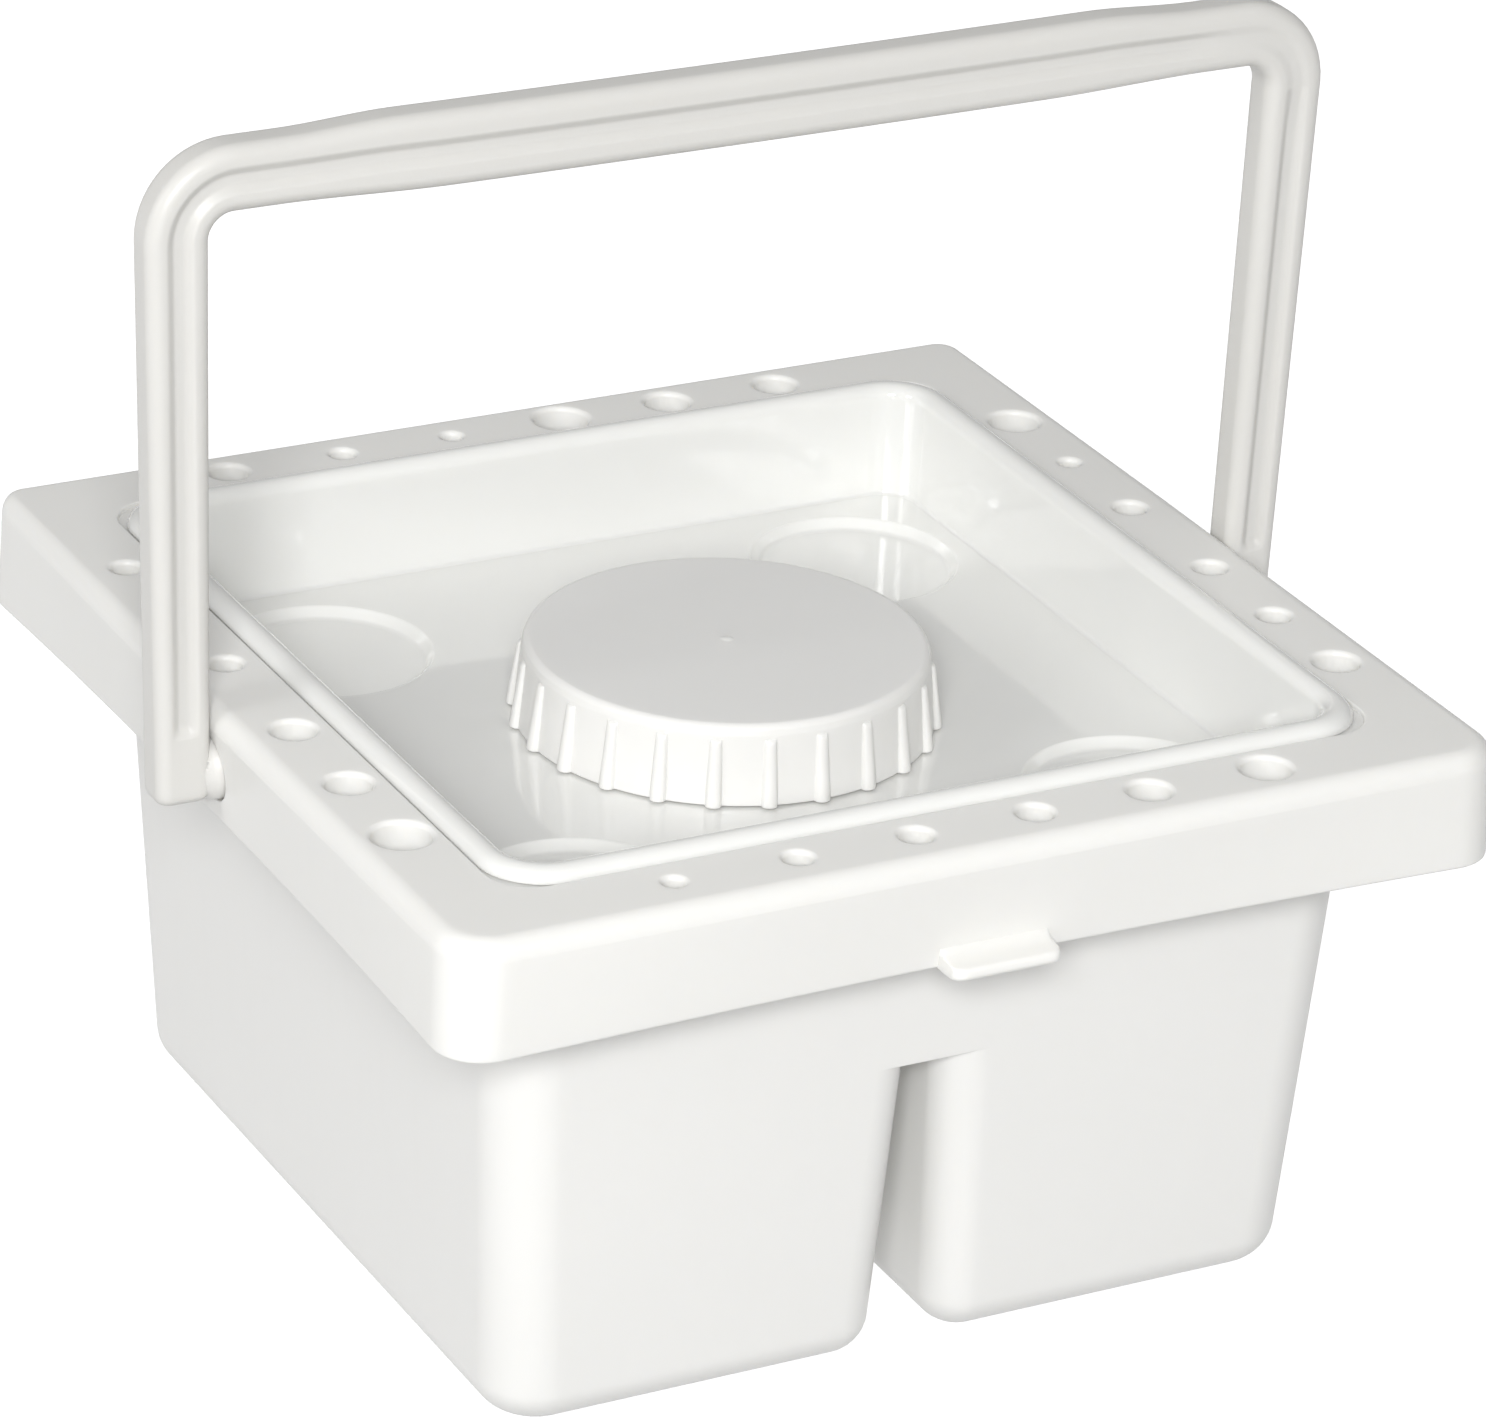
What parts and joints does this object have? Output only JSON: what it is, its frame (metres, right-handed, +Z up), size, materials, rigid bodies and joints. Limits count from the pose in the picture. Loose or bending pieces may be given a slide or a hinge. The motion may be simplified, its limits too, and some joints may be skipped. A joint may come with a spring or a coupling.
{
  "type": "brush washing caddy",
  "caption": "Square plastic bucket with a split base, a skirted lid frame of brush holes, a drop-in palette tray with a central screw cap, and a swinging bail handle.",
  "frame": {"origin": "middle of the whole caddy's box, at its base, on the surface it stands on", "axes": "+Z up; -Y is the front, with the pull tab; X runs through both handle pivots"},
  "size_m": [0.2592, 0.2341, 0.2415],
  "materials": {
    "bucket_plastic": "smooth moulded polypropylene",
    "lid_plastic": "smooth moulded polypropylene",
    "tray_plastic": "polished moulded plastic",
    "cap_plastic": "satin moulded plastic",
    "liner_foam": "soft closed foam sheet",
    "handle_plastic": "satin moulded plastic"
  },
  "bodies": {
    "bucket_body": {"bucket": "bucket_plastic"},
    "lid_body": {"lid_frame": "lid_plastic"},
    "tray_body": {"palette_tray": "tray_plastic"},
    "liner_body": {"cap_liner": "liner_foam"},
    "cap_body": {"screw_cap": "cap_plastic"},
    "handle_body": {"carry_handle": "handle_plastic"}
  },
  "joints": [
    {"name": "lid_lift", "type": "slide", "parent": "bucket_body", "child": "lid_body", "axis": [0, 0, 1], "range_m": [0, 0.08]},
    {"name": "handle_swing", "type": "hinge", "parent": "lid_body", "child": "handle_body", "pos_m": [0, 0.0026, 0.11], "axis": [1, 0, 0], "range_deg": [-120, 90]},
    {"name": "tray_lift", "type": "slide", "parent": "lid_body", "child": "tray_body", "axis": [0, 0, 1], "range_m": [0, 0.08]},
    {"name": "cap_lift", "type": "slide", "parent": "tray_body", "child": "liner_body", "axis": [0, 0, 1], "range_m": [0, 0.0151]},
    {"name": "cap_turn", "type": "hinge", "parent": "liner_body", "child": "cap_body", "pos_m": [0, 0.0026, 0.1105], "axis": [0, 0, 1], "range_deg": [0, 900]}
  ],
  "couplings": [
    {"joint": "cap_lift", "follows": "cap_turn", "m_per_rad": 0.00095493}
  ]
}
